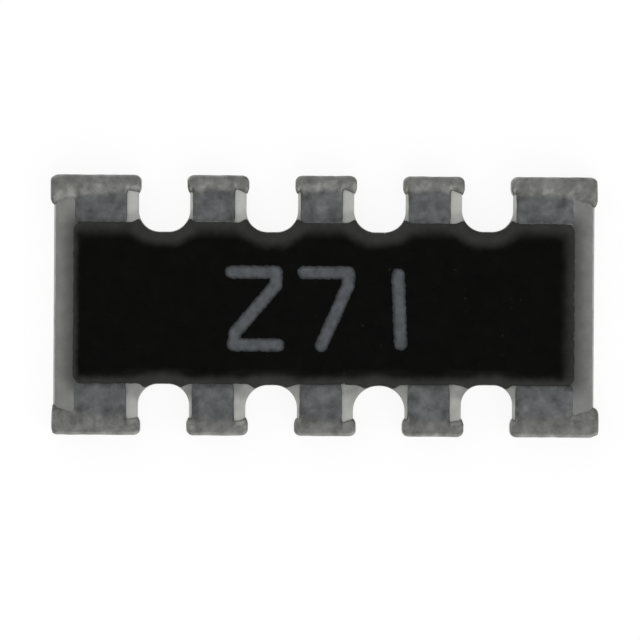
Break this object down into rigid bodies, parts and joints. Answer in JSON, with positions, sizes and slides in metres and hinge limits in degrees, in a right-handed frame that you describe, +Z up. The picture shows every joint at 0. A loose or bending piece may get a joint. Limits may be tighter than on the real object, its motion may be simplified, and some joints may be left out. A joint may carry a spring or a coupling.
{
  "type": "resistor network",
  "caption": "Chip resistor network: notched ceramic board with a row of plated wraparound terminals on each long side and a black coat over printed resistors.",
  "frame": {"origin": "on the seating plane, under the middle of the part", "axes": "+X along the part, reading direction of the value code; +Y across the part, towards the top of the code; +Z up, out of the coated face"},
  "size_m": [0.0064, 0.003, 0.0006],
  "materials": {
    "alumina": "matte sintered alumina, off-white",
    "silver_palladium": "smooth printed conductor, dull grey",
    "resistor_paste": "matte dark resistor film",
    "green_glass": "thin green glass",
    "black_coat": "black epoxy coat, soft sheen",
    "marking_ink": "grey printed ink, slightly uneven",
    "matte_tin": "matte tin plating, mottled grey"
  },
  "bodies": {
    "root": {"substrate": "alumina", "common_conductor": "silver_palladium", "signal_pad_2": "silver_palladium", "signal_pad_3": "silver_palladium", "signal_pad_4": "silver_palladium", "signal_pad_7": "silver_palladium", "signal_pad_8": "silver_palladium", "signal_pad_9": "silver_palladium", "resistor_2": "resistor_paste", "resistor_3": "resistor_paste", "resistor_4": "resistor_paste", "resistor_7": "resistor_paste", "resistor_8": "resistor_paste", "resistor_9": "resistor_paste", "glass_layer": "green_glass", "overcoat": "black_coat", "marking_digit_1": "marking_ink", "marking_digit_2": "marking_ink", "marking_digit_3": "marking_ink", "back_pad_1": "silver_palladium", "back_pad_2": "silver_palladium", "back_pad_3": "silver_palladium", "back_pad_4": "silver_palladium", "back_pad_5": "silver_palladium", "back_pad_6": "silver_palladium", "back_pad_7": "silver_palladium", "back_pad_8": "silver_palladium", "back_pad_9": "silver_palladium", "back_pad_10": "silver_palladium", "terminal_1": "matte_tin", "terminal_2": "matte_tin", "terminal_3": "matte_tin", "terminal_4": "matte_tin", "terminal_5": "matte_tin", "terminal_6": "matte_tin", "terminal_7": "matte_tin", "terminal_8": "matte_tin", "terminal_9": "matte_tin", "terminal_10": "matte_tin"}
  },
  "joints": []
}
